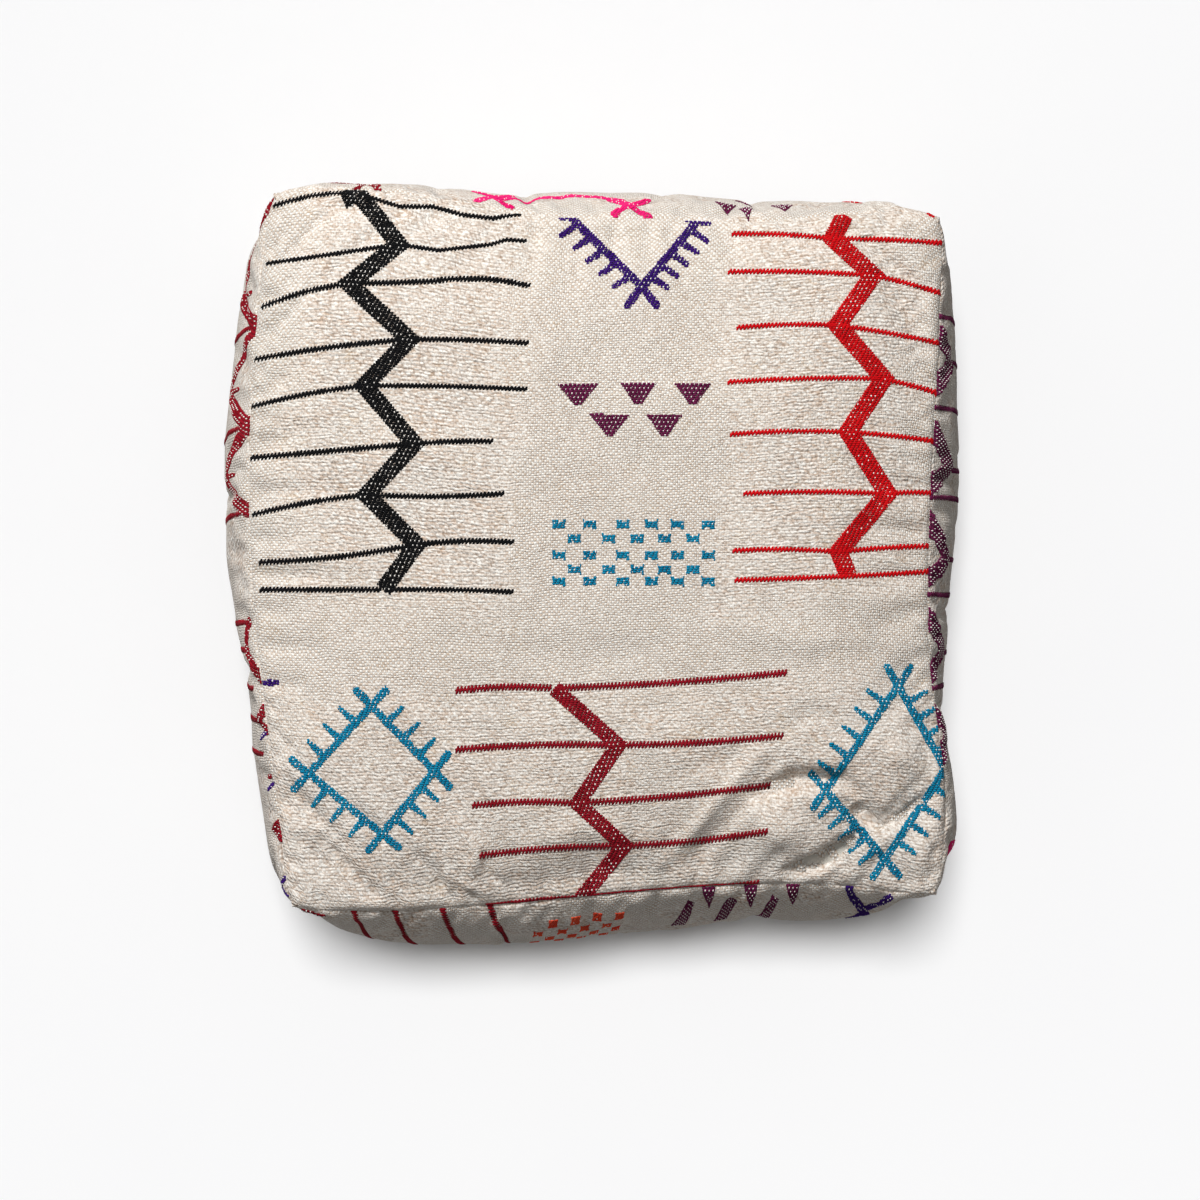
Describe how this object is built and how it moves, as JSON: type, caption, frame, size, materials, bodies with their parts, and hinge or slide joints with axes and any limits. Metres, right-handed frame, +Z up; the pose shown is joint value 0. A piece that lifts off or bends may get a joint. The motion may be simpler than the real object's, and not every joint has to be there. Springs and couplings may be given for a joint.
{
  "type": "floor cushion",
  "caption": "Low square boxed floor cushion in embroidered flat-woven cloth, with a stuffed insert and a zip across its plain underside.",
  "frame": {"origin": "on the floor, under the middle of the cushion", "axes": "+Z up, -Y towards the front side, +X to the right and along the zip towards its closed end"},
  "size_m": [0.648, 0.648, 0.222],
  "materials": {
    "kilim": "coarse flat weave in undyed wool and cotton with raised coloured embroidery",
    "canvas": "plain woven cotton canvas",
    "zip_tape": "herringbone woven tape",
    "zip_coil": "nylon coil",
    "zip_metal": "dull nickel plate",
    "calico": "thin unbleached cotton",
    "fibre": "loose polyester fibre"
  },
  "bodies": {
    "cover": {"top_panel": "kilim", "front_side_panel": "kilim", "right_side_panel": "kilim", "back_side_panel": "kilim", "left_side_panel": "kilim", "bottom_panel_front": "canvas", "bottom_panel_rear": "canvas", "zip_tape_front": "zip_tape", "zip_tape_rear": "zip_tape", "zip_coil_front": "zip_coil", "zip_coil_rear": "zip_coil", "zip_end_stop": "zip_metal", "zip_top_stop_front": "zip_metal", "zip_top_stop_rear": "zip_metal", "insert_top_panel": "calico", "insert_bottom_panel": "calico", "insert_band": "calico", "insert_filling": "fibre"},
    "slider": {"zip_slider": "zip_metal"},
    "pull_tab": {"zip_pull_tab": "zip_metal"}
  },
  "joints": [
    {"name": "zip_travel", "type": "slide", "parent": "cover", "child": "slider", "axis": [-1, 0, 0], "range_m": [0, 0.4244]},
    {"name": "tab_swing", "type": "hinge", "parent": "slider", "child": "pull_tab", "pos_m": [0.2122, 0, 0.0025], "axis": [0, -1, 0], "range_deg": [0, 180]}
  ]
}
